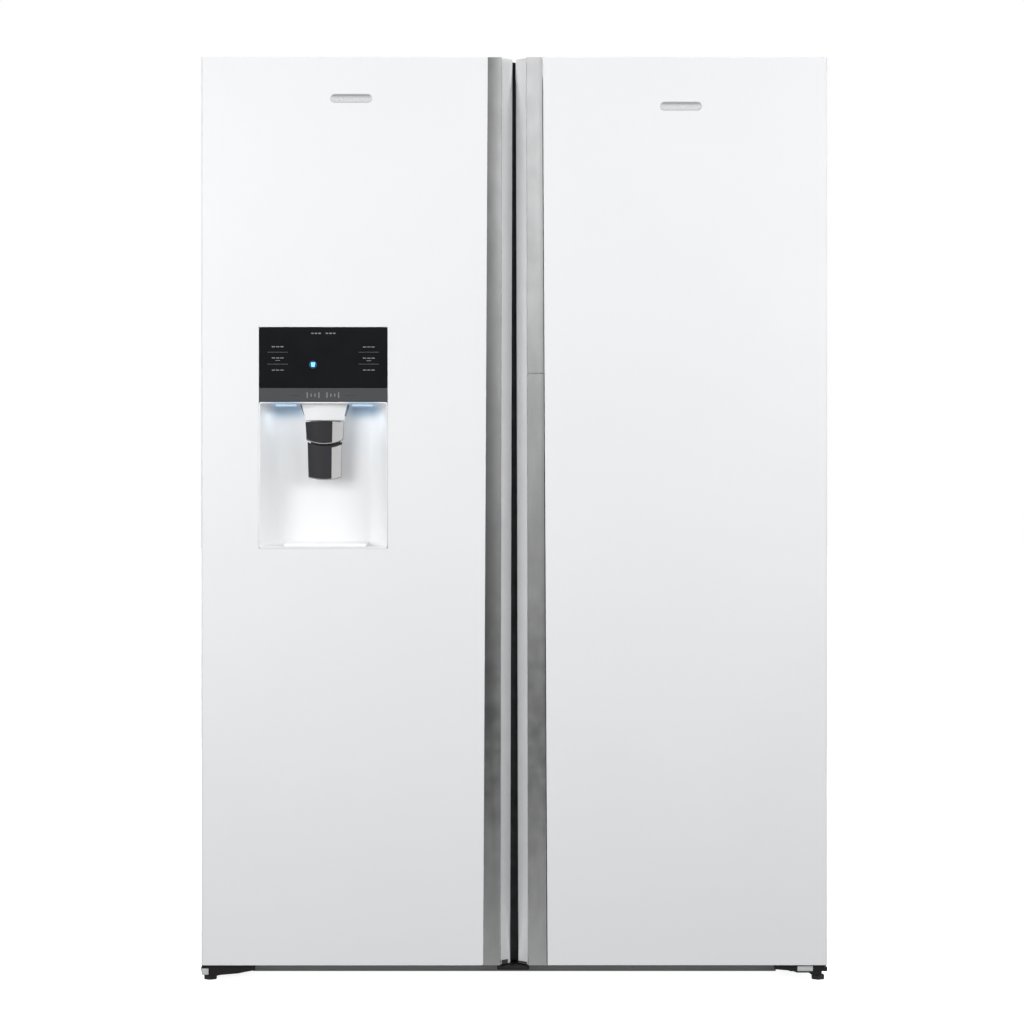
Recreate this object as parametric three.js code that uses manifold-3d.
// A side by side refrigerator: a foamed cabinet with a freezer on the left and a fridge on the right,
// an ice and water dispenser in the freezer door, and an outer showcase door on the fridge door.
// Millimetres. +Z is up, the doors face -Y, and the origin is on the floor under the centre.

import * as THREE from 'three';
import { mergeVertices } from 'three/addons/utils/BufferGeometryUtils.js';
import Module from 'manifold-3d';

const wasm = await Module();
wasm.setup();

// ---- Driving dimensions ----

const GAP = 0.3; // left between pieces that touch
const PAST = 2; // how far a cutting solid runs past the face that it cuts

const DOOR_SIDE = 603; // half the width over the two doors
const CORNER_GUARD = 1.5; // how far the top corner guards stand proud of the door sides
const DOOR_FRONT = -370;
const DOOR_BACK = -295;
const DOOR_BOTTOM = 31;
const DOOR_TOP = 1780;
const LIP_BACK = -330; // the doors' upper lip stands in front of the hinges
const LIP_BOTTOM = 1748;

const CASE_SIDE = 600;
const CASE_FRONT = -283;
const CASE_BACK = 345;
const CASE_TOP = 1750;
const CASE_BOTTOM = 50;
const CASE_SHEET = 3;
const REAR = 370; // back face of the machine compartment's cover

// The trims and the gap between the doors widen slightly towards the floor.
const TRIM_OUTER = { bottom: 63, top: 54 }; // where the white face ends
const NOSE = { bottom: 26, top: 23.5 }; // front edge of each grip
const MEETING = { bottom: 8, top: 3.5 }; // half the gap between the doors
const TRIM_THICKNESS = 8.7;
const TRIM_SPLIT = 1171; // height of the joint in the right trim
const SHOWCASE_SEAM = 1.2;

const HINGE = { x: 588, y: -310 };
const SHOWCASE_HINGE = { x: 592, y: -352 };
const SHOWCASE_BACK = -340;
const FRAME_FRONT = -330;

const LINER_WALL = 4;
const CAVITY = { inner: 28, outer: 550, bottom: 112, step: 336, top: 1690, stepBack: 88, back: 285 };
const MACHINE_ROOM = { side: 590, front: 105, top: 318 };

const DISPENSER = { left: -491.6, right: -244.1, bottom: 834, recessTop: 1116, stripTop: 1143, top: 1260 };
const RECESS_BACK = { left: -448, right: -284, bottom: 840, top: 1104, y: -288 };
const SPOUT = { x: -367.5, topWidth: 90, bottomWidth: 73, bottom: 1081, front: -352, back: -296 };
const BULGE = { left: -497, right: -239, bottom: 824, top: 1270, back: -262 };

const TRAY = { side: 594, front: -270, bottom: 26.3, top: 48, wall: 3 };
const ROLLER = {
  x: 520, y: 300, radius: 12.5, halfWidth: 15, axle: 4, halfAxle: 24,
  hanger: { offset: 19, thickness: 3, reach: 10, bottom: 6 },
};
const AXLE_PLAY = 0.5;
const FOOT = { y: -341, pad: 13.5, padHeight: 9, stem: 5, top: 21.5 };
const UPPER_PIN = { radius: 5, end: 1724 };
const LOWER_PIN = { radius: 6, end: 52 };
const PIN_PLAY = 0.6;
const COMPRESSOR = { x: -330, y: 225 };

const BIN_BACK = -215; // how far the door bins reach into the cabinet
const DRAWER_FRONT = -120;
const THIN_WALL = 4; // of the bins, the drawers and the ice bucket
const DOOR_LINER = { x: [75, 545], z: [120, 1680], back: -250, dyke: 13 };
const GASKET = { x: [13, 575], z: [70, 1735], width: 14 };

// ---- Finishes ----

const FINISHES = {
  white_enamel: { color: 0xf2f4f6, roughness: 0.35, metalness: 0 },
  brushed_aluminium: { color: 0xa6a9ac, roughness: 0.35, metalness: 0.9 },
  grip_grey: { color: 0xc9cbcd, roughness: 0.5, metalness: 0 },
  black_glass: { color: 0x1b1d1f, roughness: 0.08, metalness: 0 },
  strip_grey: { color: 0x55585c, roughness: 0.45, metalness: 0 },
  white_plastic: { color: 0xf6f8fa, roughness: 0.4, metalness: 0 },
  dark_plastic: { color: 0x222426, roughness: 0.5, metalness: 0 },
  lever_plastic: { color: 0x3b4148, roughness: 0.2, metalness: 0 },
  kick_grey: { color: 0x5c5e60, roughness: 0.6, metalness: 0 },
  gasket_rubber: { color: 0xb9bcbe, roughness: 0.7, metalness: 0 },
  clear_plastic: { color: 0xdfe8ee, roughness: 0.15, metalness: 0 },
  shelf_glass: { color: 0xd5e6e4, roughness: 0.05, metalness: 0 },
  case_paint: { color: 0xe4e6e8, roughness: 0.5, metalness: 0 },
  galvanised: { color: 0x9aa0a4, roughness: 0.45, metalness: 0.9 },
  foam: { color: 0xe8d9a8, roughness: 0.9, metalness: 0 },
  motor_black: { color: 0x1a1a1b, roughness: 0.45, metalness: 0.2 },
};

// ---- Solids ----

function toSolid(geometry) {
  geometry.deleteAttribute('normal');
  geometry.deleteAttribute('uv');
  const merged = mergeVertices(geometry, 1e-4);
  return new wasm.Manifold(new wasm.Mesh({
    numProp: 3,
    vertProperties: Float32Array.from(merged.attributes.position.array),
    triVerts: Uint32Array.from(merged.index.array),
  }));
}

function toGeometry(solid) {
  const mesh = solid.getMesh();
  const geometry = new THREE.BufferGeometry();
  geometry.setAttribute('position', new THREE.BufferAttribute(mesh.vertProperties, 3));
  geometry.setIndex(new THREE.BufferAttribute(mesh.triVerts, 1));
  geometry.computeVertexNormals();
  return geometry;
}

function join(...geometries) {
  return toGeometry(geometries.map(toSolid).reduce((whole, piece) => whole.add(piece)));
}

function cut(base, ...tools) {
  return toGeometry(tools.map(toSolid).reduce((whole, tool) => whole.subtract(tool), toSolid(base)));
}

function widen([low, high], by) {
  return [low - by, high + by];
}

// The range between two distances from the middle, on the left (-1) or the right (1).
function across(side, inner, outer) {
  return side < 0 ? [-outer, -inner] : [inner, outer];
}

function box([x0, x1], [y0, y1], [z0, z1]) {
  const geometry = new THREE.BoxGeometry(x1 - x0, y1 - y0, z1 - z0);
  return geometry.translate((x0 + x1) / 2, (y0 + y1) / 2, (z0 + z1) / 2);
}

function outline(points) {
  return new THREE.Shape(points.map(([x, y]) => new THREE.Vector2(x, y)));
}

// An outline in the XY plane, raised along Z.
function prism(points, z0, z1) {
  const raised = new THREE.ExtrudeGeometry(outline(points), { depth: z1 - z0, bevelEnabled: false });
  return raised.translate(0, 0, z0);
}

// An outline in the YZ plane, run along X.
function prismAlongX(points, x0, x1) {
  const flat = new THREE.ExtrudeGeometry(outline(points), { depth: x1 - x0, bevelEnabled: false });
  return flat.rotateX(Math.PI / 2).rotateZ(Math.PI / 2).translate(x0, 0, 0);
}

// An outline in the XZ plane, run along Y.
function prismAlongY(points, y0, y1) {
  const flat = new THREE.ExtrudeGeometry(outline(points), { depth: y1 - y0, bevelEnabled: false });
  return flat.rotateX(Math.PI / 2).translate(0, y1, 0);
}

// A solid between two outlines with the same number of points, given as [x, y, z] corners in order.
function loft(lower, upper) {
  const inPlan = (corners) => corners.map(([x, y]) => new THREE.Vector2(x, y));
  const clockwise = THREE.ShapeUtils.isClockWise(inPlan(lower));
  const base = clockwise ? [...lower].reverse() : lower;
  const top = clockwise ? [...upper].reverse() : upper;
  const count = base.length;
  const indices = [];
  for (const [a, b, c] of THREE.ShapeUtils.triangulateShape(inPlan(base), [])) {
    indices.push(c, b, a);
    indices.push(a + count, b + count, c + count);
  }
  for (let i = 0; i < count; i += 1) {
    const next = (i + 1) % count;
    indices.push(i, next, next + count);
    indices.push(i, next + count, i + count);
  }
  const geometry = new THREE.BufferGeometry();
  geometry.setAttribute('position', new THREE.Float32BufferAttribute([...base, ...top].flat(), 3));
  geometry.setIndex(indices);
  return geometry;
}

// A door-height profile whose outline depends on the trim lines at each height.
function doorLoft(profile, z0, z1) {
  const at = (z) => {
    const t = (z - DOOR_BOTTOM) / (DOOR_TOP - DOOR_BOTTOM);
    const blend = (line) => line.bottom + (line.top - line.bottom) * t;
    return profile(blend(TRIM_OUTER), blend(NOSE), blend(MEETING)).map(([x, y]) => [x, y, z]);
  };
  return loft(at(z0), at(z1));
}

function mirrored(profile) {
  return (...lines) => profile(...lines).map(([x, y]) => [-x, y]);
}

function rodAlongZ(x, y, radius, z0, z1, sides = 20) {
  const rod = new THREE.CylinderGeometry(radius, radius, z1 - z0, sides).rotateX(Math.PI / 2);
  return rod.translate(x, y, (z0 + z1) / 2);
}

function rodAlongX(y, z, radius, x0, x1, sides = 24) {
  const rod = new THREE.CylinderGeometry(radius, radius, x1 - x0, sides).rotateZ(Math.PI / 2);
  return rod.translate((x0 + x1) / 2, y, z);
}

function arc(cx, cy, radius, fromDegrees, toDegrees, steps) {
  return Array.from({ length: steps + 1 }, (_, i) => {
    const angle = THREE.MathUtils.degToRad(fromDegrees + ((toDegrees - fromDegrees) * i) / steps);
    return [cx + radius * Math.cos(angle), cy + radius * Math.sin(angle)];
  });
}

// A flat rectangular frame facing the front.
function frontRing([x0, x1], [y0, y1], [z0, z1], width) {
  const hole = box([x0 + width, x1 - width], [y0 - PAST, y1 + PAST], [z0 + width, z1 - width]);
  return cut(box([x0, x1], [y0, y1], [z0, z1]), hole);
}

// An open-topped tray with a wall of the given thickness.
function tray([x0, x1], [y0, y1], [z0, z1], wall) {
  const hollow = box([x0 + wall, x1 - wall], [y0 + wall, y1 - wall], [z0 + wall, z1 + PAST]);
  return cut(box([x0, x1], [y0, y1], [z0, z1]), hollow);
}

// ---- Scene graph ----

const refrigerator = new THREE.Group();
refrigerator.name = 'refrigerator';

function place(name, geometry, finish, parent = refrigerator) {
  const mesh = new THREE.Mesh(geometry, new THREE.MeshStandardMaterial(FINISHES[finish]));
  mesh.name = name;
  parent.add(mesh);
  return mesh;
}

// ---- Cabinet ----

const HINGE_SEAT = { inner: 535, back: -168, depth: 0.3 }; // shallow seats in the roof's front corners

function outerCase() {
  const inner = CASE_SIDE - CASE_SHEET;
  const roof = CASE_TOP - CASE_SHEET;
  const shell = prismAlongY([
    [-CASE_SIDE, CASE_BOTTOM], [-inner, CASE_BOTTOM], [-inner, roof], [inner, roof],
    [inner, CASE_BOTTOM], [CASE_SIDE, CASE_BOTTOM], [CASE_SIDE, CASE_TOP], [-CASE_SIDE, CASE_TOP],
  ], CASE_FRONT, CASE_BACK);
  const seats = [-1, 1].map((side) => box(
    across(side, HINGE_SEAT.inner, CASE_SIDE + PAST),
    [CASE_FRONT - PAST, HINGE_SEAT.back],
    [CASE_TOP - HINGE_SEAT.depth, CASE_TOP + PAST],
  ));
  return cut(shell, ...seats);
}

// The stepped side outline of a compartment, grown outwards by a wall.
function cavityOutline(grow, front) {
  return [
    [front, CAVITY.bottom - grow], [CAVITY.stepBack + grow, CAVITY.bottom - grow],
    [CAVITY.stepBack + grow, CAVITY.step - grow], [CAVITY.back + grow, CAVITY.step - grow],
    [CAVITY.back + grow, CAVITY.top + grow], [front, CAVITY.top + grow],
  ];
}

function liner(side) {
  const flangeX = across(side, GAP, CASE_SIDE - CASE_SHEET - GAP);
  const flangeY = [CASE_FRONT, CASE_FRONT + CASE_SHEET];
  const flange = box(flangeX, flangeY, [CASE_BOTTOM + PAST, CASE_TOP - CASE_SHEET - GAP]);
  const wallX = across(side, CAVITY.inner - LINER_WALL, CAVITY.outer + LINER_WALL);
  const walls = prismAlongX(cavityOutline(LINER_WALL, CASE_FRONT), ...wallX);
  const hollowX = across(side, CAVITY.inner, CAVITY.outer);
  const hollow = prismAlongX(cavityOutline(0, CASE_FRONT - PAST), ...hollowX);
  return cut(join(flange, walls), hollow);
}

function foamBody() {
  const side = CASE_SIDE - CASE_SHEET - GAP;
  const front = CASE_FRONT + CASE_SHEET + GAP;
  const height = [CASE_BOTTOM + PAST, CASE_TOP - CASE_SHEET - GAP];
  const block = box([-side, side], [front, CASE_BACK - GAP], height);
  const clear = cavityOutline(LINER_WALL + GAP, front - PAST);
  const inner = CAVITY.inner - LINER_WALL - GAP;
  const outer = CAVITY.outer + LINER_WALL + GAP;
  const room = box(
    [-MACHINE_ROOM.side, MACHINE_ROOM.side],
    [MACHINE_ROOM.front, CASE_BACK + PAST],
    [CASE_BOTTOM, MACHINE_ROOM.top],
  );
  return cut(block, prismAlongX(clear, -outer, -inner), prismAlongX(clear, inner, outer), room);
}

// A pan that carries the cabinet and the compressor, with a pair of hangers for each rear roller.
function baseTray() {
  const pan = tray(
    [-TRAY.side, TRAY.side], [TRAY.front, CASE_BACK - 1], [TRAY.bottom, TRAY.top], TRAY.wall,
  );
  const { y, radius, axle, hanger } = ROLLER;
  const hangers = [];
  for (const x of [-ROLLER.x, ROLLER.x]) {
    for (const middle of [x - hanger.offset, x + hanger.offset]) {
      const cheekX = widen([middle, middle], hanger.thickness / 2);
      const cheek = box(cheekX, widen([y, y], hanger.reach), [hanger.bottom, TRAY.bottom + 1]);
      const hole = rodAlongX(y, radius, axle + AXLE_PLAY, middle - PAST, middle + PAST, 12);
      hangers.push(cut(cheek, hole));
    }
  }
  return join(pan, ...hangers);
}

const KICK = { side: 512, y: [-290, -276], z: [8, 27.8] };
const KICK_SLOT = { pitch: 40, perSide: 12, halfWidth: 14, z: [14, 21] };

function kickGrille() {
  const slots = [];
  for (let i = -KICK_SLOT.perSide; i <= KICK_SLOT.perSide; i += 1) {
    const x = i * KICK_SLOT.pitch;
    slots.push(box(widen([x, x], KICK_SLOT.halfWidth), widen(KICK.y, PAST), KICK_SLOT.z));
  }
  return cut(box([-KICK.side, KICK.side], KICK.y, KICK.z), ...slots);
}

const COVER = { side: 596, z: [52, 320], wall: 4 };
const LOUVRE = { halfWidth: 45, height: 7, lowest: 110, highest: 270, pitch: 20 };
const INLET = { x: [-77, -33], y: [356, 369.5], z: [97, 133], wall: 7, depth: 8.5 };

function machineCover() {
  const { side, z, wall } = COVER;
  const shell = box([-side, side], [CASE_BACK + GAP, REAR], z);
  const hollow = box([-side + wall, side - wall], [CASE_BACK - PAST, REAR - wall], widen(z, -wall));
  const through = [REAR - wall - PAST, REAR + PAST];
  const slots = [];
  for (const x of [-420, -300, -180, 60, 180, 300, 420]) {
    for (let low = LOUVRE.lowest; low <= LOUVRE.highest; low += LOUVRE.pitch) {
      slots.push(box(widen([x, x], LOUVRE.halfWidth), through, [low, low + LOUVRE.height]));
    }
  }
  const inletHole = box(widen(INLET.x, 1), through, widen(INLET.z, 1));
  return cut(shell, hollow, inletHole, ...slots);
}

function mainsInlet() {
  const { x, y, z, wall, depth } = INLET;
  const socket = box(widen(x, -wall), [y[1] - depth, y[1] + PAST], widen(z, -wall));
  return cut(box(x, y, z), socket);
}

function compressor() {
  const profile = [
    [0, 0], [70, 0], [84, 10], [92, 30], [92, 95], [84, 125], [64, 146], [34, 157], [0, 160],
  ];
  const dome = new THREE.LatheGeometry(profile.map(([r, h]) => new THREE.Vector2(r, h)), 28);
  return dome.rotateX(Math.PI / 2).translate(COMPRESSOR.x, COMPRESSOR.y, TRAY.bottom + TRAY.wall + GAP);
}

// A block of parallel fins joined by one spine.
function finBlock([x0, x1], [y0, y1], z, pitch) {
  const spine = (y1 - y0) * 0.25;
  const gaps = [];
  for (let x = x0 + pitch; x < x1 - pitch / 2; x += pitch) {
    gaps.push(box([x, x + pitch / 2], [y0 + spine, y1 + PAST], widen(z, PAST)));
  }
  return cut(box([x0, x1], [y0, y1], z), ...gaps);
}

// A hub with flat blades, each turned on its own arm.
function fanAlongX(x, y, z, radius, bladeCount) {
  const hubHalf = 12;
  const pitchAngle = 0.5;
  const pieces = [rodAlongX(y, z, radius * 0.28, x - hubHalf, x + hubHalf, 20)];
  for (let i = 0; i < bladeCount; i += 1) {
    const blade = new THREE.BoxGeometry(3, radius * 0.5, radius * 0.85);
    blade.rotateZ(pitchAngle).translate(0, 0, radius * 0.575);
    blade.rotateX((i * 2 * Math.PI) / bladeCount).translate(x, y, z);
    pieces.push(blade);
  }
  return join(...pieces);
}

function fanAlongY(x, y, z, radius, bladeCount) {
  return fanAlongX(0, 0, 0, radius, bladeCount).rotateZ(Math.PI / 2).translate(x, y, z);
}

const DUCT_PLATE = { x: [-549, -29], y: [222, 226], z: [340, 1290] };

// A plate over the evaporator: air leaves through long slots at the top and returns at the bottom.
function evaporatorCover() {
  const through = widen(DUCT_PLATE.y, PAST);
  const slots = [];
  for (let z = 1150; z <= 1260; z += 18) {
    slots.push(box([-400, -180], through, [z, z + 8]));
  }
  for (let x = -500; x <= -80; x += 30) {
    slots.push(box([x, x + 12], through, [352, 372]));
  }
  return cut(box(DUCT_PLATE.x, DUCT_PLATE.y, DUCT_PLATE.z), ...slots);
}

// ---- Hinges on the cabinet ----

const HINGE_ARM = { edge: 8, margin: 12, inner: 44, shoulder: -275, back: -215, top: 1756 };
const HINGE_COVER = { outer: 599, inner: 537, y: [-280, -170], top: 1776 };
const COVER_WALL = { outer: 1.5, inner: 4, back: 8, top: 6 };
const LOWER_HINGE = {
  outer: 604, inner: 516, nose: 532, front: -362, shoulder: -300, back: -235, z: [18, 26],
};

function upperHinge(side) {
  const { edge, margin, inner, shoulder, back, top } = HINGE_ARM;
  const at = (offset) => side * (HINGE.x + offset);
  const front = HINGE.y - margin;
  const plate = prism([
    [at(edge), front], [at(edge), back], [at(-inner), back], [at(-inner), shoulder], [at(-margin), front],
  ], CASE_TOP + GAP, top);
  return join(plate, rodAlongZ(at(0), HINGE.y, UPPER_PIN.radius, UPPER_PIN.end, CASE_TOP + 3));
}

// A cap over the hinge, open underneath and towards the door.
function hingeCover(side) {
  const { outer, inner, y, top } = HINGE_COVER;
  const shell = box(across(side, inner, outer), y, [CASE_TOP + GAP, top]);
  const hollow = box(
    across(side, inner + COVER_WALL.inner, outer - COVER_WALL.outer),
    [y[0] - PAST, y[1] - COVER_WALL.back], [CASE_TOP - PAST, top - COVER_WALL.top],
  );
  return cut(shell, hollow);
}

function lowerHinge(side) {
  const { outer, inner, nose, front, shoulder, back, z } = LOWER_HINGE;
  const plate = prism([
    [side * outer, front], [side * outer, back], [side * inner, back],
    [side * inner, shoulder], [side * nose, front],
  ], ...z);
  const pin = rodAlongZ(side * HINGE.x, HINGE.y, LOWER_PIN.radius, z[1] - 4, LOWER_PIN.end);
  const footBore = rodAlongZ(side * HINGE.x, FOOT.y, FOOT.stem + 1, z[0] - 8, FOOT.top + 0.5);
  return cut(join(plate, pin), footBore);
}

// ---- Feet and rollers ----

function frontFoot(side) {
  const x = side * HINGE.x;
  const pad = rodAlongZ(x, FOOT.y, FOOT.pad, 0, FOOT.padHeight, 6);
  return join(pad, rodAlongZ(x, FOOT.y, FOOT.stem, FOOT.padHeight - PAST, FOOT.top, 16));
}

function rearRoller(side) {
  const { y, radius, halfWidth, axle, halfAxle } = ROLLER;
  const x = side * ROLLER.x;
  const wheel = rodAlongX(y, radius, radius, x - halfWidth, x + halfWidth, 24);
  return join(wheel, rodAlongX(y, radius, axle, x - halfAxle, x + halfAxle, 12));
}

// ---- Compartment fittings ----

const WIRE_SHELF = { x: [-546, -32], y: [-185, 216], thickness: 8, border: 12, pitch: 33, slot: 17 };
const GLASS_SHELF = { x: [32, 546], y: [-185, 280], thickness: 8 };
const ICE_MAKER = { x: [-549, -345], y: [-120, 180], z: [1570, 1672] };
const MOULD = { x: [-530, -420], pitch: 34, width: 22, depth: 32 };

function wireShelf(z) {
  const { x, y, thickness, border, pitch, slot } = WIRE_SHELF;
  const slots = [];
  for (let left = x[0] + 16; left <= x[1] - 2 * slot; left += pitch) {
    slots.push(box([left, left + slot], widen(y, -border), widen([z, z + thickness], PAST)));
  }
  return cut(box(x, y, [z, z + thickness]), ...slots);
}

function glassShelf(z) {
  return box(GLASS_SHELF.x, GLASS_SHELF.y, [z, z + GLASS_SHELF.thickness]);
}

function iceMaker() {
  const { x, y, z } = ICE_MAKER;
  const moulds = [];
  for (let front = y[0] + 20; front <= y[1] - 40; front += MOULD.pitch) {
    moulds.push(box(MOULD.x, [front, front + MOULD.width], [z[1] - MOULD.depth, z[1] + PAST]));
  }
  return cut(box(x, y, z), ...moulds);
}

const DRAWER_LIP = { half: 110, reach: 10, fromRim: [12, 4] };

// A drawer with a finger lip under the rim of its front.
function drawer([x0, x1], back, [z0, z1]) {
  const body = tray([x0, x1], [DRAWER_FRONT, back], [z0, z1], THIN_WALL);
  const middle = (x0 + x1) / 2;
  const lip = box(
    widen([middle, middle], DRAWER_LIP.half), [DRAWER_FRONT - DRAWER_LIP.reach, DRAWER_FRONT + 1],
    DRAWER_LIP.fromRim.map((drop) => z1 - drop),
  );
  return join(body, lip);
}

function doorBin([x0, x1], front, z, height) {
  return tray([x0, x1], [front, BIN_BACK], [z, z + height], THIN_WALL);
}

// ---- Doors ----

// Plan of the white slab of a door, mirrored from the right-hand side.
function slabPlan(seam, back) {
  return (trimOuter) => [
    [trimOuter + seam, back], [trimOuter + seam, DOOR_FRONT],
    ...arc(DOOR_SIDE - 5, DOOR_FRONT + 5, 5, -90, 0, 4),
    [DOOR_SIDE, back],
  ];
}

// Plan of the grip: a concave finger channel behind the nose, which comes out to the meeting line.
function gripPlan(trimOuter, nose, meeting) {
  const start = new THREE.Vector2(nose + 2, DOOR_FRONT + 9);
  const end = new THREE.Vector2(meeting, -326);
  const channel = new THREE.CubicBezierCurve(
    start,
    new THREE.Vector2(trimOuter - 4, DOOR_FRONT + 13),
    new THREE.Vector2(trimOuter - 4, -334),
    end,
  );
  return [
    [trimOuter, DOOR_FRONT + 9], ...channel.getPoints(10).map(({ x, y }) => [x, y]),
    [meeting, DOOR_BACK - 2], [trimOuter, DOOR_BACK - 2],
  ];
}

function trimPlan(trimOuter, nose) {
  return [
    [trimOuter, DOOR_FRONT], [trimOuter, DOOR_FRONT + TRIM_THICKNESS],
    [nose + 1, DOOR_FRONT + TRIM_THICKNESS], ...arc(nose + 4, DOOR_FRONT + 4, 4, 180, 270, 4),
  ];
}

function cornerGuard(side) {
  return box(across(side, DOOR_SIDE - PAST, DOOR_SIDE + CORNER_GUARD), [-356, -342], [1744, DOOR_TOP]);
}

// The bores that take the cabinet's hinge pins.
function hingeBores(side) {
  const x = side * HINGE.x;
  return [
    rodAlongZ(x, HINGE.y, UPPER_PIN.radius + PIN_PLAY, UPPER_PIN.end - 4, LIP_BOTTOM + PAST),
    rodAlongZ(x, HINGE.y, LOWER_PIN.radius + PIN_PLAY, DOOR_BOTTOM - PAST, LOWER_PIN.end + 4),
  ];
}

function freezerDoorShell() {
  const slab = doorLoft(mirrored(slabPlan(GAP, DOOR_BACK)), DOOR_BOTTOM, DOOR_TOP);
  const behindLip = box([-DOOR_SIDE - PAST, 0], [LIP_BACK, DOOR_BACK + PAST], [LIP_BOTTOM, DOOR_TOP + PAST]);
  const dispenserHole = box(
    [DISPENSER.left - GAP, DISPENSER.right + GAP],
    [DOOR_FRONT - PAST, DOOR_BACK + PAST],
    [DISPENSER.bottom - GAP, DISPENSER.top + GAP],
  );
  return cut(join(slab, cornerGuard(-1)), behindLip, dispenserHole, ...hingeBores(-1));
}

// The door's inner panel: two upright dykes hold the bins, and a bulge covers the dispenser.
function freezerDoorLiner() {
  const [inner, outer] = DOOR_LINER.x;
  const { z, back, dyke } = DOOR_LINER;
  const plate = box([-outer, -inner], [DOOR_BACK + GAP, DOOR_BACK + 4], z);
  const dykeX = [[-outer, -outer + dyke], [-inner - dyke, -inner]];
  const dykes = dykeX.map((x) => box(x, [DOOR_BACK + 2, back], z));
  const bulgeX = [BULGE.left, BULGE.right];
  const bulgeZ = [BULGE.bottom, BULGE.top];
  const bulge = box(bulgeX, [DOOR_BACK + 2, BULGE.back], bulgeZ);
  const hollow = box(
    widen(bulgeX, -THIN_WALL), [DOOR_BACK - PAST, BULGE.back - THIN_WALL], widen(bulgeZ, -THIN_WALL),
  );
  const chuteHole = box(widen([SPOUT.x, SPOUT.x], 42), [-280, -250], [1180, 1262]);
  return cut(join(plate, ...dykes, bulge), hollow, chuteHole);
}

function gasket(side) {
  return frontRing(
    across(side, ...GASKET.x), [DOOR_BACK + GAP, CASE_FRONT - GAP], GASKET.z, GASKET.width,
  );
}

// ---- Dispenser ----

// The recess narrows towards its back wall on all four sides.
function recessHollow() {
  const { left, right, bottom, top, y } = RECESS_BACK;
  const rim = 3;
  const front = [
    [DISPENSER.left + rim, DISPENSER.bottom + rim], [DISPENSER.right - rim, DISPENSER.bottom + rim],
    [DISPENSER.right - rim, DISPENSER.recessTop - rim], [DISPENSER.left + rim, DISPENSER.recessTop - rim],
  ];
  const back = [[left, bottom], [right, bottom], [right, top], [left, top]];
  const flat = loft(
    back.map(([x, z]) => [x, z, -y]),
    front.map(([x, z]) => [x, z, -(DOOR_FRONT - PAST)]),
  );
  return flat.rotateX(Math.PI / 2);
}

function dispenserHousing() {
  const outer = box(
    [DISPENSER.left, DISPENSER.right], [DOOR_FRONT + 0.5, RECESS_BACK.y + 4],
    [DISPENSER.bottom, DISPENSER.recessTop - GAP],
  );
  const spoutHole = box(
    [SPOUT.x - SPOUT.topWidth / 2 - GAP, SPOUT.x + SPOUT.topWidth / 2 + GAP],
    [SPOUT.front - GAP, SPOUT.back + GAP], [SPOUT.bottom, DISPENSER.recessTop + PAST],
  );
  return cut(outer, recessHollow(), spoutHole);
}

function panelSlab(z0, z1, front) {
  return box([DISPENSER.left, DISPENSER.right], [front, DOOR_FRONT + 14], [z0, z1]);
}

const DUCT = { half: 36, wall: 6, start: 1117, top: 1250, mouthBottom: 1190 };

// The spout, with the ice duct that rises behind it to the freezer.
function spoutHousing() {
  const half = SPOUT.topWidth / 2;
  const lowerHalf = SPOUT.bottomWidth / 2;
  const { x, front, back, bottom } = SPOUT;
  const section = (halfWidth, y0, y1, z) => [
    [x - halfWidth, y0, z], [x + halfWidth, y0, z], [x + halfWidth, y1, z], [x - halfWidth, y1, z],
  ];
  const { half: ductHalf, wall, start, top, mouthBottom } = DUCT;
  const bore = ductHalf - wall;
  const funnel = loft(section(lowerHalf, front, back, bottom), section(half, front, back, start + 1));
  const duct = loft(section(ductHalf, -346, -300, start), section(ductHalf, -316, -272, top));
  const ductHollow = loft(section(bore, -340, -306, bottom - PAST), section(bore, -310, -278, top + PAST));
  const mouth = box([x - bore, x + bore], [-300, -262], [mouthBottom, top - THIN_WALL]);
  return cut(join(funnel, duct), ductHollow, mouth);
}

const DRIP = { x: [-446, -286], y: [-352, -294], bottom: 840.4, frontTop: 848, backTop: 852 };
const DRIP_SLOT = { margin: 6, pitch: 12, width: 6 };

// A grille over the drip pan, a little higher at the back.
function dripGrille() {
  const { x: [left, right], y: [front, back], bottom, frontTop, backTop } = DRIP;
  const section = [[front, bottom], [back, bottom], [back, backTop], [front, frontTop]];
  const { margin, pitch, width } = DRIP_SLOT;
  const slots = [];
  for (let x = left + 10; x < right - pitch; x += pitch) {
    slots.push(box([x, x + width], widen([front, back], -margin), widen([bottom, backTop], PAST)));
  }
  return cut(prismAlongX(section, left, right), ...slots);
}

const PADDLE_THICKNESS = 7;
const LEVER_TOP = 1080.4; // just below the spout's mouth
const ICE_PADDLE = { width: 74.5, z: [1037, LEVER_TOP], front: -345 };
const WATER_PADDLE = { width: 67, z: [966, 1033], front: -340 };

// A paddle that hangs from a pin; its lower edge is bowed.
function paddle({ width, z: [z0, z1], front }) {
  const half = width / 2;
  const bow = 5;
  const lowerEdge = Array.from({ length: 9 }, (_, i) => {
    const t = -1 + i / 4;
    return [SPOUT.x + half * t, z0 + bow * t * t];
  });
  const corners = [[SPOUT.x + half, z1], [SPOUT.x - half, z1]];
  return prismAlongY([...lowerEdge, ...corners], front, front + PADDLE_THICKNESS);
}

function iceLever() {
  return paddle(ICE_PADDLE);
}

// The lower paddle is behind the upper one, and hangs on a stem that passes behind it.
function waterLever() {
  const top = WATER_PADDLE.z[1];
  const stemX = widen([SPOUT.x, SPOUT.x], 9);
  const stemBottom = top - 13;
  const stem = box(stemX, [-334, -318], [stemBottom, top]);
  const hanger = box(stemX, [-324, -318], [stemBottom, LEVER_TOP]);
  return join(paddle(WATER_PADDLE), stem, hanger);
}

// ---- Fridge door and its showcase door ----

const FRAME_OPENING = { x: [112, 530], z: [135, 1668] };

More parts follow.
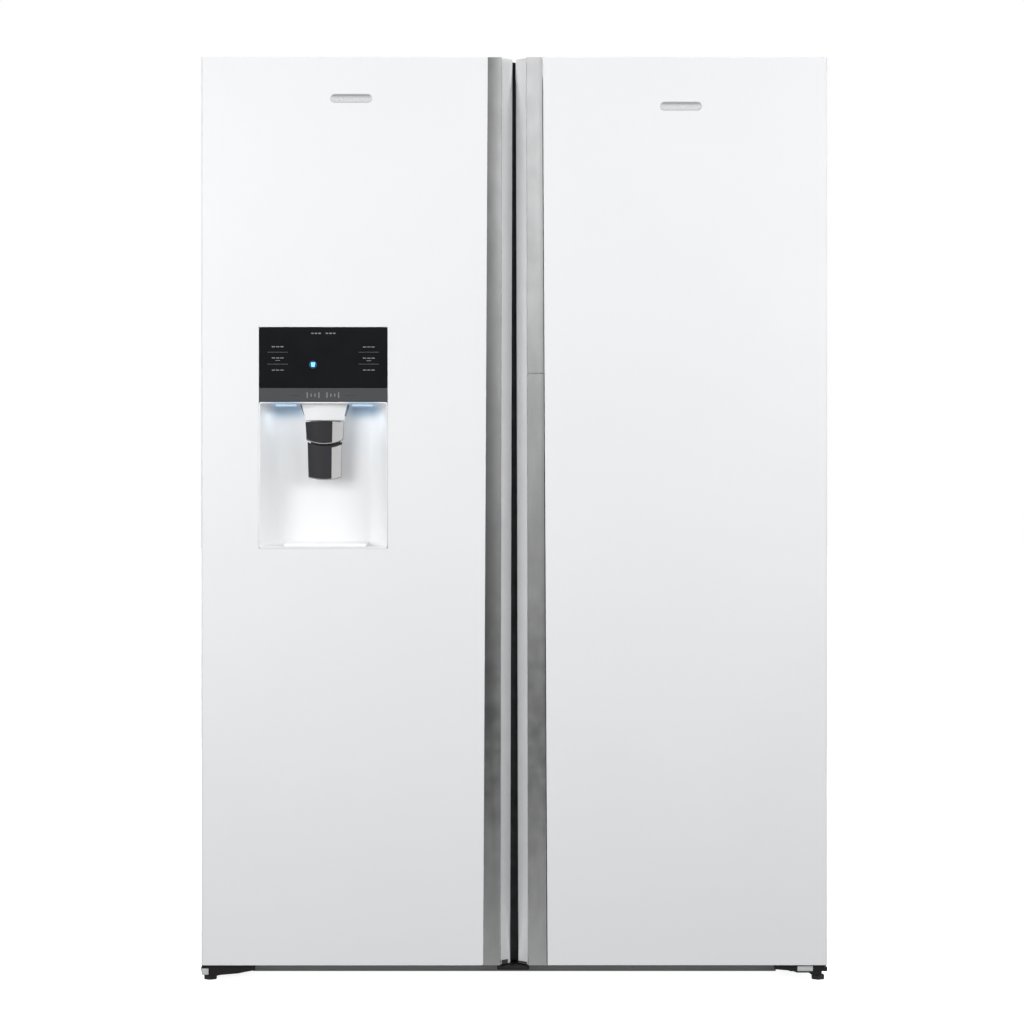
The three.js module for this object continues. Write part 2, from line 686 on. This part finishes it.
function fridgeDoorFrame() {
  const slab = doorLoft((trimOuter) => [
    [trimOuter + GAP, FRAME_FRONT], [DOOR_SIDE - 2, FRAME_FRONT],
    [DOOR_SIDE - 2, DOOR_BACK], [trimOuter + GAP, DOOR_BACK],
  ], DOOR_BOTTOM + 1, LIP_BOTTOM);
  const liner = box(DOOR_LINER.x, [DOOR_BACK - 1, DOOR_LINER.back], [118, 1684]);
  const opening = box(FRAME_OPENING.x, [FRAME_FRONT - PAST, DOOR_LINER.back + PAST], FRAME_OPENING.z);
  return cut(join(slab, liner), opening, ...hingeBores(1));
}

const SHOWCASE_POCKET = { x: [524, 600], y: [-366, SHOWCASE_BACK + PAST], depth: 34 };
const SHOWCASE_PIN = 4;

function showcaseDoor() {
  const slab = doorLoft(slabPlan(SHOWCASE_SEAM, SHOWCASE_BACK), DOOR_BOTTOM, DOOR_TOP);
  const { x, y, depth } = SHOWCASE_POCKET;
  const upperPocket = box(x, y, [DOOR_TOP - depth, DOOR_TOP + PAST]);
  const pinBore = (z0, z1) => rodAlongZ(SHOWCASE_HINGE.x, SHOWCASE_HINGE.y, SHOWCASE_PIN + PIN_PLAY, z0, z1);
  return cut(
    join(slab, cornerGuard(1)), upperPocket,
    pinBore(1720, DOOR_TOP), pinBore(DOOR_BOTTOM - PAST, 54),
  );
}

const SHOWCASE_ARM = { eye: 7, reach: 30, width: 32, back: -300 };

// A cranked plate on the fridge door that carries one pin of the showcase door.
function showcaseHinge(z0, z1, pinZ0, pinZ1) {
  const { x, y } = SHOWCASE_HINGE;
  const { eye, reach, width, back } = SHOWCASE_ARM;
  const arm = [
    ...arc(x, y, eye, -90, 90, 8), [x - reach, y + eye], [x - reach, back],
    [x - reach - width, back], [x - reach - width, y - eye],
  ];
  return join(prism(arm, z0, z1), rodAlongZ(x, y, SHOWCASE_PIN, pinZ0, pinZ1));
}

// ---- Assembly ----

place('outer_case', outerCase(), 'case_paint');
place('foam_body', foamBody(), 'foam');
place('freezer_liner', liner(-1), 'white_plastic');
place('fridge_liner', liner(1), 'white_plastic');
place('back_panel', box([-596, 596], [CASE_BACK + GAP, 348], [325, 1746]), 'galvanised');
place('base_tray', baseTray(), 'galvanised');
place('kick_grille', kickGrille(), 'kick_grey');
place('machine_cover', machineCover(), 'galvanised');
place('mains_inlet', mainsInlet(), 'dark_plastic');
place('compressor', compressor(), 'motor_black');
place('condenser', finBlock([-180, 160], [150, 290], [40, 190], 20), 'motor_black');
place('condenser_fan', fanAlongX(200, 220, 130, 72, 5), 'dark_plastic');
place('evaporator', finBlock([-500, -78], [236, 275], [460, 950], 22), 'brushed_aluminium');
place('evaporator_cover', evaporatorCover(), 'white_plastic');
place('evaporator_fan', fanAlongY(-289, 252, 1080, 62, 5), 'dark_plastic');
place('ice_maker', iceMaker(), 'white_plastic');
place('ice_bucket', tray([-470, -265], [-190, 190], [1310, 1530], THIN_WALL), 'clear_plastic');
place('freezer_shelf', wireShelf(1300), 'galvanised');
[600, 950, 1300].forEach((z, i) => place(`fridge_shelf_${i + 1}`, glassShelf(z), 'shelf_glass'));

// The lower drawers are shorter, because the machine room takes the cabinet's lower back.
for (const [name, side] of [['freezer_drawer', -1], ['crisper', 1]]) {
  place(`${name}_lower`, drawer(across(side, 38, 540), 80, [118, 325]), 'clear_plastic');
  place(`${name}_upper`, drawer(across(side, 38, 540), 205, [346, 580]), 'clear_plastic');
}

for (const [name, side] of [['left', -1], ['right', 1]]) {
  place(`upper_hinge_${name}`, upperHinge(side), 'galvanised');
  place(`hinge_cover_${name}`, hingeCover(side), 'white_plastic');
  place(`lower_hinge_${name}`, lowerHinge(side), 'motor_black');
  place(`front_foot_${name}`, frontFoot(side), 'dark_plastic');
  place(`rear_roller_${name}`, rearRoller(side), 'dark_plastic');
}

place('freezer_door_shell', freezerDoorShell(), 'white_enamel');
place('freezer_door_liner', freezerDoorLiner(), 'white_plastic');
place('freezer_gasket', gasket(-1), 'gasket_rubber');
place('freezer_grip', doorLoft(mirrored(gripPlan), DOOR_BOTTOM, DOOR_TOP), 'grip_grey');
place('freezer_trim', doorLoft(mirrored(trimPlan), DOOR_BOTTOM, DOOR_TOP), 'brushed_aluminium');
[[250, 90], [1560, 90]].forEach(([z, height], i) => {
  place(`freezer_bin_${i + 1}`, doorBin([-531, -89], DOOR_BACK + 4.4, z, height), 'clear_plastic');
});

place('dispenser_housing', dispenserHousing(), 'white_plastic');
place('control_panel', panelSlab(DISPENSER.stripTop + GAP, DISPENSER.top, DOOR_FRONT), 'black_glass');
place('mode_strip', panelSlab(DISPENSER.recessTop, DISPENSER.stripTop, DOOR_FRONT + 1), 'strip_grey');
place('spout_housing', spoutHousing(), 'white_plastic');
place('drip_grille', dripGrille(), 'white_plastic');
place('ice_lever', iceLever(), 'lever_plastic');
place('water_lever', waterLever(), 'lever_plastic');

place('fridge_door_frame', fridgeDoorFrame(), 'white_plastic');
place('fridge_gasket', gasket(1), 'gasket_rubber');
place('fridge_grip', doorLoft(gripPlan, DOOR_BOTTOM, DOOR_TOP), 'grip_grey');
place('fridge_trim_lower', doorLoft(trimPlan, DOOR_BOTTOM, TRIM_SPLIT - 1), 'brushed_aluminium');
[[240, 100], [640, 100], [1040, 100]].forEach(([z, height], i) => {
  place(`fridge_bin_${i + 1}`, doorBin([116, 526], FRAME_FRONT + 2, z, height), 'clear_plastic');
});

place('showcase_door', showcaseDoor(), 'white_enamel');
place('showcase_trim', doorLoft(trimPlan, TRIM_SPLIT + 1, DOOR_TOP), 'brushed_aluminium');
place('showcase_hinge_upper', showcaseHinge(LIP_BOTTOM + GAP, LIP_BOTTOM + 2, 1724, 1749), 'galvanised');
place('showcase_hinge_lower', showcaseHinge(27, 30.6, 29, 50), 'galvanised');

export default refrigerator;
